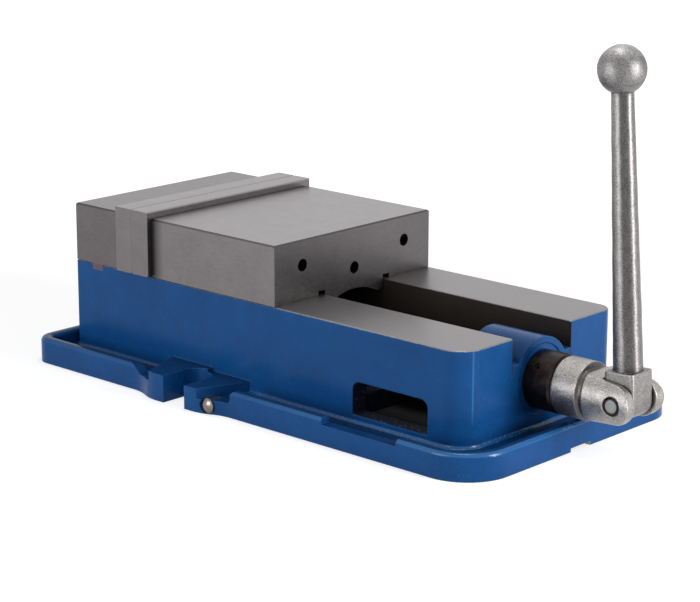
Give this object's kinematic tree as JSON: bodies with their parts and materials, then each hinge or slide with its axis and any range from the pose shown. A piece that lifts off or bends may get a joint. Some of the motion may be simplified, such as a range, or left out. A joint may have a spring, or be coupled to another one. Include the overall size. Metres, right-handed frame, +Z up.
{
  "type": "angle lock machine vise",
  "caption": "Machine vise whose screw drives a nut that pulls its movable jaw down as it closes, with a drip trough base, clamp slots and a folding lever.",
  "frame": {"origin": "on the base plane, where the lengthwise keyway and the cross keyway between the two clamp slots meet", "axes": "+X along the screw from the fixed jaw to the handle, +Y across the bed, +Z up from the base"},
  "size_m": [0.4476, 0.2246, 0.2544],
  "materials": {
    "blue_enamel": "gloss enamel over cast iron, rail tops ground bare",
    "ground_steel": "ground",
    "key_steel": "ground",
    "black_oxide": "black oxide",
    "cast_steel": "forged, blasted and tumbled",
    "screw_steel": "turned, oiled",
    "nut_iron": "machined",
    "bearing_steel": "polished"
  },
  "bodies": {
    "bed": {"body": "blue_enamel", "index_plug": "ground_steel", "fixed_jaw": "ground_steel", "fixed_jaw_key": "key_steel", "fixed_jaw_bolts": "black_oxide", "fixed_jaw_plate": "ground_steel", "fixed_plate_screws": "black_oxide", "front_thrust_race": "bearing_steel"},
    "jaw": {"movable_jaw": "ground_steel", "movable_jaw_plate": "ground_steel", "movable_plate_screws": "black_oxide", "jaw_set_screw": "black_oxide", "half_ball": "bearing_steel", "nut": "nut_iron"},
    "screw": {"screw": "screw_steel", "rear_thrust_race": "bearing_steel", "screw_collar": "black_oxide", "collar_set_screw": "black_oxide", "handle_clevis": "cast_steel", "handle_pin": "ground_steel", "pin_rings": "black_oxide"},
    "cage": {"thrust_cage": "bearing_steel", "thrust_needles": "bearing_steel"},
    "lever": {"handle_lever": "cast_steel"}
  },
  "joints": [
    {"name": "screw_turn", "type": "hinge", "parent": "bed", "child": "screw", "pos_m": [0.217, 0, 0.039], "axis": [1, 0, 0], "range_deg": [0, 10800]},
    {"name": "jaw_slide", "type": "slide", "parent": "bed", "child": "jaw", "axis": [1, 0, 0], "range_m": [0, 0.1501]},
    {"name": "cage_turn", "type": "hinge", "parent": "bed", "child": "cage", "pos_m": [0.217, 0, 0.039], "axis": [1, 0, 0], "range_deg": [0, 5401]},
    {"name": "lever_pivot", "type": "hinge", "parent": "screw", "child": "lever", "pos_m": [0.284, 0, 0.039], "axis": [0, 1, 0], "range_deg": [0, 94]}
  ],
  "couplings": [
    {"joint": "jaw_slide", "follows": "screw_turn", "m_per_rad": 0.00079577},
    {"joint": "cage_turn", "follows": "screw_turn", "ratio": 0.5}
  ]
}
